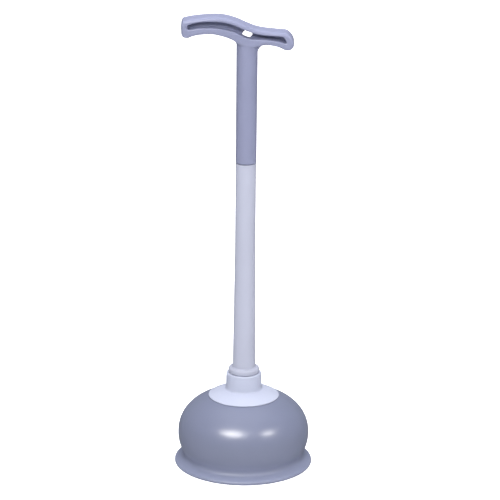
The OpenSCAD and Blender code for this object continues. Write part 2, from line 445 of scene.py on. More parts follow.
class NodeSheet:
    """A material's nodes, laid out by short calls."""

    def __init__(self, name: str) -> None:
        """Start a material with a principled shader, under that name."""
        self.material = bpy.data.materials.new(name)
        self.material.use_nodes = True
        self.tree = self.material.node_tree
        self.shader = self.tree.nodes["Principled BSDF"]
        self.coords = self.tree.nodes.new("ShaderNodeTexCoord").outputs["Object"]

    def link(self, source: bpy.types.NodeSocket, target: bpy.types.NodeSocket) -> None:
        """Join an output to an input."""
        self.tree.links.new(source, target)

    def noise(
        self, scale: float, detail: float = 2.0, roughness: float = 0.5,
        stretch: tuple[float, float, float] = (1.0, 1.0, 1.0),
    ) -> bpy.types.NodeSocket:
        """Noise on the piece's own coordinates.

        Args:
            scale: Cycles for each metre.
            detail: Number of finer layers.
            roughness: Weight of the finer layers.
            stretch: Factors on the coordinates, smaller for a longer pattern.

        Returns:
            The value socket.
        """
        mapping = self.tree.nodes.new("ShaderNodeMapping")
        mapping.inputs["Scale"].default_value = stretch
        self.link(self.coords, mapping.inputs["Vector"])
        node = self.tree.nodes.new("ShaderNodeTexNoise")
        node.inputs["Scale"].default_value = scale
        node.inputs["Detail"].default_value = detail
        node.inputs["Roughness"].default_value = roughness
        self.link(mapping.outputs["Vector"], node.inputs["Vector"])
        return node.outputs["Fac"]

    def ramp(
        self, value: bpy.types.NodeSocket, stops: Sequence[tuple[float, Sequence[float]]]
    ) -> bpy.types.NodeSocket:
        """Colour ramp with two stops.

        Args:
            value: The value that drives the ramp.
            stops: Places along the ramp, each with its RGB colour.

        Returns:
            The colour socket.
        """
        node = self.tree.nodes.new("ShaderNodeValToRGB")
        for element, (place, colour) in zip(node.color_ramp.elements, stops):
            element.position = place
            element.color = (*colour, 1.0)
        self.link(value, node.inputs["Fac"])
        return node.outputs["Color"]

    def height(self) -> bpy.types.NodeSocket:
        """Height of the shaded place on the piece."""
        node = self.tree.nodes.new("ShaderNodeSeparateXYZ")
        self.link(self.coords, node.inputs["Vector"])
        return node.outputs["Z"]

    def spread(
        self, value: bpy.types.NodeSocket, low: float, high: float,
        span: tuple[float, float] = (0.3, 0.7),
    ) -> bpy.types.NodeSocket:
        """Map a span of a value, by default the middle of a noise, to low and high.

        Args:
            value: The value.
            low: Result at the span's start.
            high: Result at its end.
            span: The values that are mapped.

        Returns:
            The value socket.
        """
        node = self.tree.nodes.new("ShaderNodeMapRange")
        node.inputs["From Min"].default_value, node.inputs["From Max"].default_value = span
        node.inputs["To Min"].default_value = low
        node.inputs["To Max"].default_value = high
        self.link(value, node.inputs["Value"])
        return node.outputs["Result"]

    def blend_values(
        self, first: bpy.types.NodeSocket, second: bpy.types.NodeSocket, share: float
    ) -> bpy.types.NodeSocket:
        """Mix two values, with a share of the second."""
        node = self.tree.nodes.new("ShaderNodeMix")
        node.inputs["Factor"].default_value = share
        self.link(first, node.inputs["A"])
        self.link(second, node.inputs["B"])
        return node.outputs["Result"]

    def mix_colours(
        self, mask: bpy.types.NodeSocket, first: bpy.types.NodeSocket, second: Sequence[float]
    ) -> bpy.types.NodeSocket:
        """Mix a colour socket with a fixed colour by a mask."""
        node = self.tree.nodes.new("ShaderNodeMixRGB")
        node.inputs["Color2"].default_value = (*second, 1.0)
        self.link(mask, node.inputs["Fac"])
        self.link(first, node.inputs["Color1"])
        return node.outputs["Color"]

    def add(
        self, first: bpy.types.NodeSocket, second: bpy.types.NodeSocket
    ) -> bpy.types.NodeSocket:
        """Sum of two values."""
        node = self.tree.nodes.new("ShaderNodeMath")
        self.link(first, node.inputs[0])
        self.link(second, node.inputs[1])
        return node.outputs["Value"]

    def bump(
        self, height: bpy.types.NodeSocket, depth: float,
        normal: bpy.types.NodeSocket | None = None,
    ) -> bpy.types.NodeSocket:
        """Bump the surface by a height pattern.

        Args:
            height: Pattern from 0 to 1.
            depth: Depth of the pattern, in metres.
            normal: Normal that this bump goes on, if any.

        Returns:
            The normal socket.
        """
        node = self.tree.nodes.new("ShaderNodeBump")
        node.inputs["Strength"].default_value = 1.0
        node.inputs["Distance"].default_value = depth
        self.link(height, node.inputs["Height"])
        if normal is not None:
            self.link(normal, node.inputs["Normal"])
        return node.outputs["Normal"]


BELL_RUBBER = Finish(
    "bell_rubber", Family.RUBBER, (0.192, 0.210, 0.303), 0.30,
    spread=0.018, mottle=0.02, grain=0.45 * MM, relief=0.003 * MM, specular=1.0,
)
GRIP_PLASTIC = Finish(
    "grip_plastic", Family.MOULDED, (0.253, 0.267, 0.394), 0.37,
    spread=0.04, mottle=0.025, grain=0.55 * MM, relief=0.015 * MM, specular=0.5,
)
SHAFT_PLASTIC = Finish(
    "shaft_plastic", Family.MOULDED, (0.448, 0.462, 0.559), 0.4,
    spread=0.06, mottle=0.015, grain=1.1 * MM, relief=0.008 * MM, specular=0.2,
)
COLLAR_PLASTIC = Finish(
    "collar_plastic", Family.MOULDED, (0.496, 0.523, 0.645), 0.42,
    spread=0.06, mottle=0.015, grain=0.9 * MM, relief=0.008 * MM, specular=0.35,
)
PLATE_PLASTIC = Finish(
    "plate_plastic", Family.MOULDED, (0.560, 0.580, 0.660), 0.5, mottle=0.03,
)
INSERT_PLASTIC = Finish(
    "insert_plastic", Family.MOULDED, (0.030, 0.030, 0.033), 0.5, mottle=0.1,
)
GASKET_RUBBER = Finish(
    "gasket_rubber", Family.RUBBER, (0.020, 0.020, 0.022), 0.6, mottle=0.1,
)
CLAMP_STEEL = Finish(
    "clamp_steel", Family.METAL, (0.62, 0.62, 0.64), 0.36,
    spread=0.07, mottle=0.06, grain=0.25 * MM, relief=0.004 * MM,
)


# ---------------------------------------------------------------- frame


@dataclass(frozen=True)
class Levels:
    """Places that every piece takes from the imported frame, in metres."""

    lip_radius: float
    gasket: float
    floor: float
    seat: float
    neck_top: float
    seam: float
    grip_foot: float
    stub_top: float
    hole: float
    left_reach: float
    right_reach: float
    bar_half: float
    boss: float
    washer: float
    spring: float
    head: float
    screw_top: float

    @classmethod
    def from_frame(cls, frame: dict) -> "Levels":
        """Read the places off the CAD nodes' boxes.


        Returns:
            The levels.
        """
        mounts = {mount["name"]: mount for mount in frame["record"]["mounts"]}
        grip_low, grip_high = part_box("grip")
        seam_gap = 0.4 * MM
        return cls(
            lip_radius=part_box("cup")[1][0],
            gasket=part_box("gasket")[0][2],
            floor=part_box("gasket")[1][2],
            seat=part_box("shaft")[0][2],
            neck_top=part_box("collar")[1][2],
            seam=grip_low[2] - seam_gap,
            grip_foot=grip_low[2],
            stub_top=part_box("shaft")[1][2],
            hole=mounts["hang_hole"]["pos_m"][2],
            left_reach=-grip_low[0],
            right_reach=grip_high[0],
            bar_half=grip_high[1],
            boss=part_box("backing_plate")[1][2],
            washer=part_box("flat_washer")[1][2],
            spring=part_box("spring_washer")[1][2],
            head=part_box("clamp_screw")[0][2],
            screw_top=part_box("clamp_screw")[1][2],
        )


def settle(piece: bpy.types.Object, finish: Finish, node: str, body: str = "handle") -> None:
    """Dress a piece and let it ride on its body in place of a CAD node.

    Args:
        piece: The finished piece.
        finish: Its finish.
        node: The CAD node that it replaces.
        body: The body that it rides on.
    """
    dress(piece, finish)
    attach(piece, body)
    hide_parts(node)


def dress(piece: bpy.types.Object, finish: Finish) -> None:
    """Give a piece one finish all over."""
    piece.data.materials.clear()
    piece.data.materials.append(finish.material())


# ---------------------------------------------------------------- bell


@dataclass
class Bell:
    """Rubber bell with its flared lip.

    Attributes:
        levels: Places from the frame.
        inset: How far the belly stands in from the lip's edge.
        belly_height: Height of the widest level.
        crown: Height of the crown above that level.
        squareness: Power of the bell's curve, 2 for an ellipse.
        crease_height: Height of the crease over the lip.
        wall: Rubber thickness at the belly.
        boss_radius: Radius of the boss inside the crown.
        recess_radius: Radius of the gasket's recess in the crown.
        hole_radius: Radius of the screw's hole.
        lip_thickness: Thickness of the lip's edge.
        lip_turn: Degrees over the level that the lip's edge is round to.
        seal_width: Width of the ring that the lip seals with.
        wall_foot: Height over the crease from which the wall is hollowed into the lip.
    """

    levels: Levels
    inset: float = 3.7 * MM
    belly_height: float = 35.4 * MM
    crown: float = 48.2 * MM
    squareness: float = 2.19
    crease_height: float = 9.8 * MM
    wall: float = 3.4 * MM
    boss_radius: float = 27 * MM
    recess_radius: float = 18 * MM
    hole_radius: float = 4.5 * MM
    lip_thickness: float = 4.6 * MM
    lip_turn: float = 62
    seal_width: float = 4.5 * MM
    wall_foot: float = 6 * MM

    @property
    def belly_radius(self) -> float:
        """Radius of the bell at its widest."""
        return self.levels.lip_radius - self.inset

    def height_at(self, radius: float) -> float:
        """Height of the outer surface above the belly at a radius."""
        power = self.squareness
        share = 1 - (radius / self.belly_radius) ** power
        return self.belly_height + self.crown * share ** (1 / power)

    def radius_at(self, height: float, belly: float, rise: float) -> float:
        """Radius of a bell curve at a height.

        Args:
            height: The height.
            belly: Radius of that curve at the belly.
            rise: Height of that curve above and below the belly.

        Returns:
            The radius.
        """
        power = self.squareness
        share = 1 - (abs(height - self.belly_height) / rise) ** power
        return belly * share ** (1 / power)

    def curve(self, belly: float, rise: float, low: float, end_radius: float, steps: int) -> Ring:
        """Points of a bell curve from a height under the belly to a radius over it.

        Args:
            belly: Radius at the belly.
            rise: Height above the belly at which the curve would close.
            low: Height of the first point.
            end_radius: Radius of the last point.
            steps: Number of stretches.

        Returns:
            The points, from low to high.
        """
        power = self.squareness
        start = -math.asin(((self.belly_height - low) / self.crown) ** (power / 2))
        end = math.acos((end_radius / belly) ** (power / 2))
        points: Ring = []
        for i in range(steps + 1):
            t = start + (end - start) * i / steps
            reach = self.crown if t < 0 else rise
            offset = math.copysign(reach * abs(math.sin(t)) ** (2 / power), t)
            points.append((belly * math.cos(t) ** (2 / power), self.belly_height + offset))
        return points

    def profile(self) -> Ring:
        """Closed profile of the rubber, from the screw's hole round and back to it."""
        levels = self.levels
        edge = self.lip_thickness / 2
        edge_centre = (levels.lip_radius - edge, edge)
        outer = self.curve(
            self.belly_radius, self.crown, self.crease_height + self.wall_foot,
            self.recess_radius, 56
        )
        crease_radius = self.radius_at(self.crease_height, self.belly_radius, self.crown)
        inner_belly = self.belly_radius - self.wall
        shoulder = 1 - (self.boss_radius / inner_belly) ** self.squareness
        inner_rise = (levels.boss - self.belly_height) / shoulder ** (1 / self.squareness)
        inner = self.curve(
            inner_belly, inner_rise, self.crease_height - 1.5 * MM, self.boss_radius, 44
        )
        seal_inner = levels.lip_radius - edge - self.seal_width
        profile = [(self.hole_radius, levels.gasket), (self.hole_radius, levels.boss)]
        profile += [(self.boss_radius - 3 * MM, levels.boss)]
        profile += [(r, z - 0.15 * MM) for r, z in reversed(inner[:-1])]
        profile += self.inner_flare(inner[0], seal_inner)
        profile += arc(edge_centre, edge, -90, self.lip_turn, 12)
        profile += self.outer_flare(outer[0], crease_radius, edge_centre, edge)
        profile += outer
        profile += [(self.recess_radius, levels.gasket)]
        return profile

    def inner_flare(self, foot: Point2, seal: float) -> Ring:
        """Underside of the lip, from the inner wall's foot to the sealing ring.

        Args:
            foot: Last point of the inner wall.
            seal: Inner radius of the sealing ring.

        Returns:
            The points between the two.
        """
        start, end = Vector(foot), Vector((seal, 0.0))
        bulge = Vector((-0.7 * MM, -1.3 * MM))
        points = []
        for i in range(1, 9):
            t = i / 9
            place = start.lerp(end, t) + bulge * 4 * t * (1 - t)
            points.append((place.x, max(place.y, 0.0)))
        return points + [(seal - 0.4 * MM, 0.15 * MM), (seal, 0.0)]

    def outer_flare(self, wall: Point2, crease: float, centre: Point2, edge: float) -> Ring:
        """Hollow upper face of the lip, from its edge up to the crease.

        Args:
            wall: Lowest point of the outer wall.
            crease: Radius of the crease.
            centre: Centre of the lip's rounded edge.
            edge: Radius of that edge.

        Returns:
            The points from the edge to the wall, without the wall's own.
        """
        angle = math.radians(self.lip_turn)
        start = Vector((centre[0] + edge * math.cos(angle), centre[1] + edge * math.sin(angle)))
        corner = Vector((crease + 0.6 * MM, self.crease_height - 0.2 * MM))
        middle = start.lerp(corner, 0.5)
        top = Vector(wall)
        points = [start.lerp(middle, i / 5) for i in range(1, 6)]
        for i in range(1, 8):
            t = i / 8
            points.append(middle * (1 - t) ** 2 + corner * 2 * t * (1 - t) + top * t**2)
        return [(p.x, p.y) for p in points]

    def build(self) -> bpy.types.Object:
        """Make the bell, dress it and hide the CAD cup in its place."""
        piece = turned("bell_skin", self.profile(), segments=176)
        smooth(piece, 50)
        dress(piece, BELL_RUBBER)
        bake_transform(piece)
        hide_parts("cup")
        return piece


# ---------------------------------------------------------------- collar and shaft


@dataclass
class Collar:
    """Flanged collar between the bell and the shaft."""

    levels: Levels
    bell: Bell
    flange_radius: float = 38.8 * MM
    edge_thickness: float = 1.3 * MM
    root_thickness: float = 4.0 * MM
    neck_radius: float = 19.8 * MM
    neck_draft: float = 0.4 * MM
    neck_root: float = 2.6 * MM
    socket_radius: float = 16.05 * MM
    hole_radius: float = 4.5 * MM
    gap: float = 0.1 * MM

    def cover(self, radius: float, thickness: float) -> Point2:
        """Point of the flange over the crown, at a radius and a thickness."""
        return radius, self.bell.height_at(radius) + self.gap + thickness

    def profile(self) -> Ring:
        """Closed profile of the collar."""
        levels = self.levels
        steps = 24
        inner = self.bell.recess_radius
        half_edge = self.edge_thickness / 2
        reach = self.flange_radius - inner - half_edge
        under = [self.cover(inner + reach * i / steps, 0.0) for i in range(steps + 1)]
        edge_centre = self.cover(self.flange_radius - half_edge, half_edge)
        root = self.neck_root
        over_end = self.neck_radius + root
        over_start = self.flange_radius - half_edge
        over = []
        for i in range(steps + 1):
            share = i / steps
            thickness = self.edge_thickness + (self.root_thickness - self.edge_thickness) * share
            over.append(self.cover(over_start + (over_end - over_start) * share, thickness))
        root_centre = (over_end, over[-1][1] + root)
        top_radius = self.neck_radius - self.neck_draft
        rim, mouth = 1.4 * MM, 0.6 * MM
        profile = [(self.hole_radius, levels.floor)] + under
        profile += arc(edge_centre, half_edge, -70, 62, 8)
        profile += over
        profile += arc(root_centre, root, 258, 184, 8)
        profile += arc((top_radius - rim, levels.neck_top - rim), rim, 0, 90, 8)
        profile += arc((self.socket_radius + mouth, levels.neck_top - mouth), mouth, 90, 180, 4)
        profile += [(self.socket_radius, levels.seat), (self.hole_radius, levels.seat)]
        return profile

    def build(self) -> bpy.types.Object:
        """Make the collar and let it ride on the handle."""
        piece = turned("collar_shell", self.profile(), segments=144)
        smooth(piece, 45)
        settle(piece, COLLAR_PLASTIC, "collar")
        return piece


@dataclass
class Shaft:
    """Hollow tapered shaft with its stop bead."""

    levels: Levels
    radius: float = 11.07 * MM
    foot_flare: float = 1.38 * MM
    taper: float = 138 * MM
    wall: float = 2.2 * MM
    spigot_radius: float = 15.9 * MM
    insert_radius: float = 12.5 * MM
    insert_margin: float = 2 * MM
    bead_radius: float = 17 * MM
    bead_height: float = 6.8 * MM
    bead_gap: float = 0.25 * MM
    stub_radius: float = 9.2 * MM
    stub_wall: float = 2 * MM

    def profile(self) -> Ring:
        """Closed profile of the tube, its spigot, bead and stub."""
        levels = self.levels
        bead_low = levels.neck_top + self.bead_gap
        bead_top = bead_low + self.bead_height
        foot = self.radius + self.foot_flare
        bore = self.radius - self.wall
        insert_top = levels.screw_top + self.insert_margin
        edge, chamfer, relief = 0.5 * MM, 0.8 * MM, 0.4 * MM
        outside = [
            (self.insert_radius, levels.seat), (self.spigot_radius - chamfer, levels.seat),
            (self.spigot_radius, levels.seat + chamfer),
            (self.spigot_radius, levels.neck_top - 1 * MM),
            (self.spigot_radius - relief, levels.neck_top - relief),
            (self.spigot_radius - relief, bead_low),
        ]
        low_round, top_round, hollow = 1 * MM, self.bead_height / 2, 1.6 * MM
        outside += arc((self.bead_radius - low_round, bead_low + low_round), low_round, -90, 0, 6)
        outside += arc((self.bead_radius - top_round, bead_top - top_round), top_round, 0, 62, 10)
        outside += arc((foot + hollow, bead_top + 0.9 * MM), hollow, 245, 182, 6)
        outside += [
            (foot + (self.radius - foot) * i / 12, bead_top + self.taper * i / 12)
            for i in range(1, 13)
        ]
        outside += arc((self.radius - edge, levels.seam - edge), edge, 0, 90, 4)
        outside += [
            (self.stub_radius, levels.seam), (self.stub_radius, levels.stub_top - 1 * MM),
            (self.stub_radius - 1 * MM, levels.stub_top),
        ]
        stub_bore = self.stub_radius - self.stub_wall
        step = levels.seam - 6 * MM
        inside = [
            (stub_bore, levels.stub_top), (stub_bore, step),
            (bore, step - self.wall), (bore, bead_top + self.taper),
            (foot - self.wall, insert_top), (self.insert_radius, insert_top),
        ]
        return outside + inside

    def build(self) -> bpy.types.Object:
        """Make the shaft and let it ride on the handle."""
        piece = turned("shaft_tube", self.profile(), segments=120)
        settle(piece, SHAFT_PLASTIC, "shaft")
        return piece


# ---------------------------------------------------------------- grip


@dataclass
class Grip:
    """T-shaped grip: bar, channels, yoke, hollow stem and hanging hole."""

    levels: Levels
    edge: float = 3.4 * MM
    stem_radius: float = 11.27 * MM
    stem_draft: float = 0.15 * MM
    web: float = 3 * MM
    hang_radius: float = 5.6 * MM
    rim: float = 1.2 * MM
    floor_round: float = 0.8 * MM
    socket_radius: float = 9.25 * MM
    core_radius: float = 7 * MM
    core_stop: float = 24 * MM
    voxel: float = 0.48 * MM

    def lifted(self, knots: Sequence[Point2]) -> list[Point2]:
        """Turn knots in millimetres about the hanging hole into places in metres."""
        return [(x * MM, self.levels.hole + z * MM) for x, z in knots]

    def bar_outline(self) -> Ring:
        """Outline of the bar, seen from the front."""
        left, right = self.levels.left_reach / MM, self.levels.right_reach / MM
        return closed_curve(self.lifted([
            (-left, 12.5), (-left + 0.1, 5), (-left + 0.5, 1.6), (-left + 1.9, -1),
            (-left + 4.5, -2), (-left + 8, -1.9), (-left + 12.5, 0), (-left + 21, 1.7),
            (-37, 2.2), (-26, 0), (-15.6, -3.8), (-8, -9), (0, -12.4), (7, -12),
            (14, -10), (21, -8.9), (right - 17, -11), (right - 9, -14.4), (right - 3.4, -13.6),
            (right - 0.4, -8.5), (right - 2.2, -1.5), (right - 8, 4.2), (right - 17, 5.2),
            (19, 6.6), (9, 8.5), (0, 11.9), (-12.7, 17.3), (-23, 20.1), (-35, 21),
            (-left + 18, 19.6), (-left + 6, 17.6), (-left + 1.6, 16),
        ]), 6)

    def yoke_outline(self) -> Ring:
        """Outline of the flare between the stem and the bar's underside."""
        stem = self.stem_radius / MM
        return closed_curve(self.lifted([
            (-18, 0), (-16.4, -2.6), (-13.4, -5.4), (-stem - 0.3, -9.5), (-stem + 1, -14),
            (-stem + 3, -20), (0, -22), (stem - 3, -24), (stem - 0.6, -20), (stem + 0.9, -15.3),
            (14.6, -12), (18, -9.6), (16, -6), (0, -3),
        ]), 4)

    def channel_outline(self) -> Ring:
        """Outline of the channel in the bar, with small rounds in its corners."""
        left, right = self.levels.left_reach / MM, self.levels.right_reach / MM
        return closed_curve(self.lifted([
            (-left + 7, 11.6), (-left + 7, 8.2), (-left + 7.8, 7.4), (-left + 18, 9), (-37, 9.4),
            (-25, 8.2), (-14, 5.3), (-5, 0.9), (1, -1.6), (10, -2.2), (20, -2.6),
            (right - 16, -4.6), (right - 9.6, -6.4), (right - 8.7, -5.7),
            (right - 11.6, -0.1), (right - 12.6, 0.6), (20, 1.9), (10, 3.4), (1, 6.2),
            (-12.7, 12), (-23, 15.2), (-35, 16.4), (-left + 18, 15.4), (-left + 7.8, 12.4),
        ]), 6)

    def prism(self, name: str, outline: Ring, half: float, edge: float) -> bpy.types.Object:
        """Solid of an outline along Y, with rounded front and back edges.

        Args:
            name: Name of the object.
            outline: Its (x, z) outline.
            half: Reach to the front and to the back.
            edge: Radius along the edges.

        Returns:
            The solid.
        """
        back = [(half - edge * sink, grown(outline, -edge * inset)) for inset, sink in quarter(6)]
        front = [(-depth, ring) for depth, ring in reversed(back)]
        return skinned(name, front + back)

    def channel_cutter(self, side: int) -> bpy.types.Object:
        """Solid to take out of one face of the bar, flared at its rim.

        Args:
            side: -1 for the front channel, 1 for the back one.

        Returns:
            The cutter.
        """
        outline = self.channel_outline()
        half = self.levels.bar_half
        rings = [(half + self.rim, grown(outline, self.rim * 2))]
        for inset, sink in reversed(quarter(6)):
            rings.append((half - self.rim * sink, grown(outline, self.rim * inset)))
        for inset, sink in quarter(4):
            depth = self.web / 2 + self.floor_round * sink
            rings.append((depth, grown(outline, -self.floor_round * inset)))
        return skinned("channel_cutter", [(side * depth, ring) for depth, ring in rings])

    def hole_cutter(self) -> bpy.types.Object:
        """Solid to take out for the hanging hole, from the web to the back of the bar."""
        chamfer = 0.35 * MM
        front, back = -self.web / 2, self.levels.bar_half + 1 * MM
        profile = [(0.5 * MM, front - chamfer), (self.hang_radius + chamfer, front - chamfer)]
        profile += [(self.hang_radius + chamfer, front), (self.hang_radius, front + chamfer)]
        profile += [(self.hang_radius, back), (0.5 * MM, back)]
        cutter = turned("hole_cutter", profile, segments=64)
        self.fill_axis(cutter)
        cutter.data.transform(Matrix.Rotation(math.radians(-90), 4, "X"))
        cutter.data.transform(Matrix.Translation((0, 0, self.levels.hole)))
        return cutter

    @staticmethod
    def fill_axis(cutter: bpy.types.Object) -> None:
        """Close the thin hole along a turned cutter's axis."""
        make_active(cutter)
        bpy.ops.object.mode_set(mode="EDIT")
        select_by(cutter, "FACE", lambda f: Vector(f.calc_center_median()).xy.length < 0.51 * MM
                  and abs(f.normal.z) < 0.5)
        bpy.ops.mesh.delete(type="FACE")
        bpy.ops.mesh.select_mode(type="EDGE")
        bpy.ops.mesh.select_all(action="DESELECT")
        bpy.ops.mesh.select_non_manifold()
        bpy.ops.mesh.edge_face_add()
        close_up()
        bpy.ops.object.mode_set(mode="OBJECT")

    def stem(self) -> bpy.types.Object:
        """Solid stem up to the underside of the bar."""
        foot, top = self.levels.grip_foot, self.levels.hole - 8 * MM
        edge = 0.8 * MM
        profile = [(0.5 * MM, foot)]
        profile += arc((self.stem_radius - edge, foot + edge), edge, -90, 0, 5)
        profile += [(self.stem_radius + self.stem_draft, top), (0.5 * MM, top)]
        stem = turned("stem_core", profile, segments=96)
        self.fill_axis(stem)
        return stem

    def bore_cutter(self, radius: float, top: float) -> bpy.types.Object:
        """Round cutter from below the stem up to a height."""
        foot = self.levels.grip_foot - 1 * MM
        cutter = turned("bore_cutter", [
            (0.5 * MM, foot), (radius, foot), (radius, top), (0.5 * MM, top)
        ], segments=96)
        self.fill_axis(cutter)
        return cutter

    def melt(self, piece: bpy.types.Object) -> None:
        """Run the bar, yoke and stem into one skin with soft hollows between them.

        Args:
            piece: The joined solids.
        """
        modify(piece, "REMESH", mode="VOXEL", voxel_size=self.voxel)
        modify(piece, "SMOOTH", factor=0.5, iterations=3)

    def build(self) -> bpy.types.Object:
        """Make the grip and let it ride on the handle."""
        levels = self.levels
        piece = self.prism("grip_shell", self.bar_outline(), levels.bar_half, self.edge)
        yoke = self.prism("yoke", self.yoke_outline(), self.stem_radius * 0.28, 1 * MM)
        join(piece, [yoke, self.stem()])
        self.melt(piece)
        for side in (-1, 1):
            combine(piece, self.channel_cutter(side), "DIFFERENCE")
        combine(piece, self.hole_cutter(), "DIFFERENCE")
        combine(piece, self.bore_cutter(self.socket_radius, levels.stub_top), "DIFFERENCE")
        core_top = levels.hole - self.core_stop
        combine(piece, self.bore_cutter(self.core_radius, core_top), "DIFFERENCE")
        smooth(piece, 40)
        settle(piece, GRIP_PLASTIC, "grip")
        return piece


# ---------------------------------------------------------------- clamp


@dataclass
class Clamp:
    """Backing plate, washers and screw inside the bell."""

    levels: Levels
    hole_radius: float = 4.5 * MM
    plate_radius: float = 25 * MM
    plate_thickness: float = 3 * MM
    rim_width: float = 2.2 * MM
    rim_height: float = 1.6 * MM
    rib_width: float = 2 * MM
    rib_count: int = 6
    washer_radius: float = 10.5 * MM
    spring_radius: float = 7.4 * MM
    spring_hole: float = 4.25 * MM
    screw_radius: float = 3.95 * MM
    pitch: float = 1.25 * MM
    across_flats: float = 13 * MM
    head_height: float = 5.3 * MM

    def plate(self) -> bpy.types.Object:
        """Ribbed backing plate."""
        high = self.levels.boss
        low = high - self.plate_thickness
        rim = low - self.rim_height
        inner = self.plate_radius - self.rim_width
        piece = turned("backing_disc", [
            (self.hole_radius, high), (self.hole_radius, low), (inner, low), (inner, rim),
            (self.plate_radius, rim), (self.plate_radius, high),
        ], segments=96)
        ribs = [self.rib(i * math.tau / self.rib_count, low, rim) for i in range(self.rib_count)]
        rounded_edges(piece, 0.35 * MM)
        join(piece, ribs)
        smooth(piece)
        settle(piece, PLATE_PLASTIC, "backing_plate")
        return piece

    def rib(self, angle: float, low: float, foot: float) -> bpy.types.Object:
        """One radial rib under the plate.

        Args:
            angle: Where the rib points, in radians.
            low: Height of the plate's underside.
            foot: Height of the rib's foot.

        Returns:
            The rib, with rounded edges.
        """
        start = self.washer_radius + 1 * MM
        end = self.plate_radius - self.rim_width + 0.5 * MM
        height = low - foot
        clear_selection()
        bpy.ops.mesh.primitive_cube_add(size=1)
        rib = bpy.context.object
        sink = 0.4 * MM
        rib.data.transform(Matrix.Diagonal((end - start, self.rib_width, height + sink, 1)))
        middle = ((start + end) / 2, 0, foot + (height + sink) / 2)
        rib.data.transform(Matrix.Translation(middle))
        rib.data.transform(Matrix.Rotation(angle, 4, "Z"))
        rounded_edges(rib, 0.3 * MM)
        return rib

    def washer(self) -> bpy.types.Object:
        """Flat washer with broken edges."""
        high = self.levels.washer
        low = self.levels.spring
        piece = turned("plain_washer", [
            (self.hole_radius, high), (self.hole_radius, low),
            (self.washer_radius, low), (self.washer_radius, high),
        ], segments=72)
        rounded_edges(piece, 0.25 * MM)
        smooth(piece)
        settle(piece, CLAMP_STEEL, "flat_washer")
        return piece

    def split_washer(self) -> bpy.types.Object:
        """Spring washer, spun short of a full turn to leave its split."""
        high = self.levels.spring
        low = self.levels.head + self.head_height
        profile = [
            (self.spring_hole, low), (self.spring_radius, low),
            (self.spring_radius, high), (self.spring_hole, high),
        ]
        split = math.radians(9)
        turn = Matrix.Rotation(split / 2, 4, "Z")
        piece = closed_loop("split_washer", [turn @ Vector((r, 0, z)) for r, z in profile])
        bpy.ops.object.mode_set(mode="EDIT")
        bpy.ops.mesh.select_all(action="SELECT")
        bpy.ops.mesh.spin(
            steps=60, angle=math.tau - split, center=(0, 0, 0), axis=(0, 0, 1)
        )
        bpy.ops.mesh.select_mode(type="EDGE")
        for end in (1, -1):
            select_by(piece, "EDGE", lambda e, s=end: e.is_boundary
                      and s * (e.verts[0].co.y + e.verts[1].co.y) > 0)
            bpy.ops.mesh.edge_face_add()
        close_up()
        bpy.ops.object.mode_set(mode="OBJECT")
        rounded_edges(piece, 0.2 * MM)
        smooth(piece)
        settle(piece, CLAMP_STEEL, "spring_washer")
        return piece

    def screw(self) -> bpy.types.Object:
        """Hexagon-head screw with a chamfered head and thread grooves."""
        levels = self.levels
        seat = levels.head + self.head_height
        corner = self.across_flats / math.sqrt(3)
        clear_selection()
        bpy.ops.mesh.primitive_cylinder_add(vertices=6, radius=corner, depth=self.head_height)
        head = bpy.context.object
        head.name = "hex_screw"
        head.data.transform(Matrix.Rotation(math.radians(30), 4, "Z"))
        head.data.transform(Matrix.Translation((0, 0, levels.head + self.head_height / 2)))
        narrow, wide = self.across_flats / 2 - 0.5 * MM, self.across_flats / 2 + 3 * MM
        low, high = levels.head - 0.1 * MM, seat + 1 * MM
        cone = turned("head_cone", [
            (0.3 * MM, low), (narrow, low), (wide, levels.head + 2 * MM), (wide, high),
            (0.3 * MM, high),
        ], segments=64)
        Grip.fill_axis(cone)
        combine(head, cone, "INTERSECT")
        rounded_edges(head, 0.18 * MM, 2)
        join(head, [self.shank(seat)])
        smooth(head, 35)
        settle(head, CLAMP_STEEL, "clamp_screw")
        return head

    def shank(self, seat: float) -> bpy.types.Object:
        """Threaded shank, with one groove for each pitch.

        Args:
            seat: Height of the head's bearing face.

        Returns:
            The shank.
        """
        top = self.levels.screw_top
        depth, flank, point = 0.6 * MM, 0.45 * self.pitch, 1.2 * MM
        profile: Ring = [(0.3 * MM, seat - 0.5 * MM), (self.screw_radius, seat - 0.5 * MM)]
        height = seat + 2 * self.pitch
        while height < top - 2 * point:
            profile += [
                (self.screw_radius, height - flank), (self.screw_radius - depth, height),
                (self.screw_radius, height + flank),
            ]
            height += self.pitch
        profile += [(self.screw_radius, top - point), (self.screw_radius - point, top)]
        profile += [(0.3 * MM, top)]
        shank = turned("shank", profile, segments=40)
        Grip.fill_axis(shank)
        return shank


# ---------------------------------------------------------------- studio


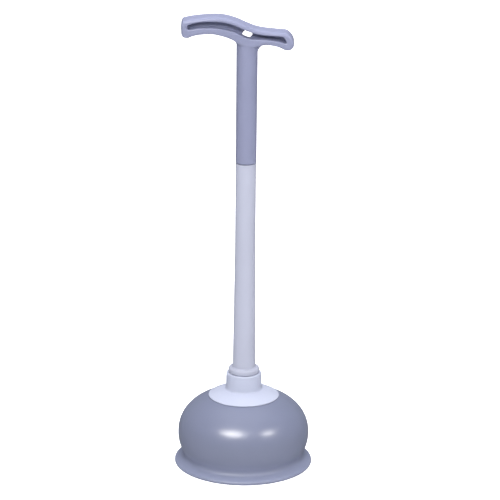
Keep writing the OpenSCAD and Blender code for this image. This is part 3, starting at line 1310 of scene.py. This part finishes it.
@dataclass
class Studio:
    """Camera, lights and floor.

    Attributes:
        distance: From the camera to the point that it aims at.
        elevation: Of the camera above the horizon, in degrees.
        roll: Of the camera about its own axis, in degrees.
        aim_side: How far the aim lies beside the shaft's axis.
        aim_height: Height of the aim.
        lens: Focal length in millimetres on a 36 mm sensor.
        lit_point: What the lights in front face.
        room_light: Colour of the even light from all round.
        glint_colour: Colour of the lights that only glint.
    """

    distance: float = 3.267
    elevation: float = 17.7
    roll: float = 0.6
    aim_side: float = 0.0053
    aim_height: float = 0.246
    lens: float = 216.0
    lit_point: Vector = field(default_factory=lambda: Vector((0, 0, 0.2)))
    room_light: Rgb = (0.184, 0.195, 0.225)
    glint_colour: Rgb = (1.0, 0.97, 0.9)

    def camera(self) -> None:
        """Place the camera and make it the scene's own."""
        tilt = math.radians(self.elevation)
        aim = Vector((self.aim_side, 0, self.aim_height))
        back = Vector((0, -math.cos(tilt), math.sin(tilt)))
        clear_selection()
        bpy.ops.object.camera_add(location=aim + back * self.distance)
        camera = bpy.context.object
        camera.name = "camera"
        facing = back.to_track_quat("Z", "Y").to_matrix()
        spin = Matrix.Rotation(math.radians(self.roll), 3, "Z")
        camera.rotation_euler = (facing @ spin).to_euler()
        camera.data.lens = self.lens
        camera.data.sensor_width = 36
        camera.data.clip_end = 50
        bpy.context.scene.camera = camera

    def softbox(
        self, name: str, place: Vector, target: Vector, size: tuple[float, float], power: float,
        shading: bool = True, mirrored: bool = True,
    ) -> None:
        """Add a white area light.

        Args:
            name: Name of the light.
            place: Where it hangs.
            target: What it faces.
            size: Its width and height.
            power: Its power in watts.
            shading: Whether it lights surfaces evenly.
            mirrored: Whether glossy surfaces mirror it.
        """
        clear_selection()
        bpy.ops.object.light_add(type="AREA", location=place)
        light = bpy.context.object
        light.name = name
        light.rotation_euler = (place - target).to_track_quat("Z", "Y").to_euler()
        light.data.shape = "ELLIPSE"
        light.data.size, light.data.size_y = size
        light.data.energy = power
        light.data.color = (1.0, 1.0, 1.0) if shading else self.glint_colour
        light.visible_diffuse = shading
        light.visible_glossy = mirrored

    def around(self, azimuth: float, elevation: float, reach: float) -> Vector:
        """Place round the object.

        Args:
            azimuth: Degrees to the right of the camera's side.
            elevation: Degrees above the horizon.
            reach: Distance from the lights' target.

        Returns:
            The place.
        """
        turn, tilt = math.radians(azimuth), math.radians(elevation)
        away = Vector((
            math.sin(turn) * math.cos(tilt), -math.cos(turn) * math.cos(tilt), math.sin(tilt)
        ))
        return self.lit_point + away * reach

    def lights(self) -> None:
        """Two glints in front, and even light from the front and from above."""
        glint, even = (False, True), (True, False)
        target = self.lit_point
        self.softbox("key", self.around(-24, 37, 1.9), target, (1.15, 0.50), 25, *glint)
        self.softbox("fill", self.around(51, 31, 1.9), target, (0.66, 0.36), 9, *glint)
        self.softbox("front", self.around(2, 41, 1.9), target, (0.9, 0.7), 26.5, *even)
        self.softbox("top", self.around(180, 82, 2.2), target, (2.8, 2.2), 66, *even)

    def surroundings(self) -> None:
        """Pale floor and an even pale world."""
        clear_selection()
        bpy.ops.mesh.primitive_plane_add(size=24)
        floor = bpy.context.object
        floor.name = "floor"
        floor.visible_glossy = False
        sheet = NodeSheet("floor_paint")
        tint = sheet.ramp(sheet.noise(1.5, detail=1.0), [(0.3, (0.88,) * 3), (0.7, (0.9,) * 3)])
        sheet.link(tint, sheet.shader.inputs["Base Color"])
        sheet.shader.inputs["Roughness"].default_value = 0.9
        sheet.shader.inputs["Specular IOR Level"].default_value = 0.1
        sheet.shader.inputs["Emission Color"].default_value = (1.0, 1.0, 1.0, 1.0)
        seen = sheet.tree.nodes.new("ShaderNodeLightPath").outputs["Is Camera Ray"]
        sheet.link(seen, sheet.shader.inputs["Emission Strength"])
        floor.data.materials.append(sheet.material)
        world = bpy.data.worlds.new("pale_room")
        world.use_nodes = True
        nodes, links = world.node_tree.nodes, world.node_tree.links
        background = nodes["Background"]
        tint = nodes.new("ShaderNodeMixRGB")
        tint.inputs["Color1"].default_value = (*self.room_light, 1.0)
        tint.inputs["Color2"].default_value = (1.0, 1.0, 1.0, 1.0)
        seen = nodes.new("ShaderNodeLightPath").outputs["Is Camera Ray"]
        links.new(seen, tint.inputs["Fac"])
        links.new(tint.outputs["Color"], background.inputs["Color"])
        bpy.context.scene.world = world
        bpy.context.scene.view_settings.view_transform = "Standard"


# ---------------------------------------------------------------- main


def dress_hidden_nodes(frame: dict) -> None:
    """Give the CAD nodes that stay their finishes.
    """
    for node, finish in (("gasket", GASKET_RUBBER), ("shaft_insert", INSERT_PLASTIC)):
        piece = frame["nodes"][node]
        dress(piece, finish)
        LOG.info("%s keeps its CAD mesh in %s", node, finish.name)


def report(piece: bpy.types.Object) -> None:
    """Log a finished piece and how many faces it has."""
    LOG.info("%s: %d faces", piece.name, len(piece.data.polygons))


def main() -> None:
    """Build the studio and every piece."""
    logging.basicConfig(level=logging.INFO, format="%(name)s: %(message)s")
    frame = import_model()
    studio = Studio()
    studio.camera()
    levels = Levels.from_frame(frame)
    bell = Bell(levels)
    clamp = Clamp(levels)
    builders = (
        bell.build, Collar(levels, bell).build, Shaft(levels).build, Grip(levels).build,
        clamp.plate, clamp.washer, clamp.split_washer, clamp.screw,
    )
    for build in builders:
        report(build())
    dress_hidden_nodes(frame)
    studio.surroundings()
    studio.lights()
    clear_selection()


if __name__ == "__main__":
    main()
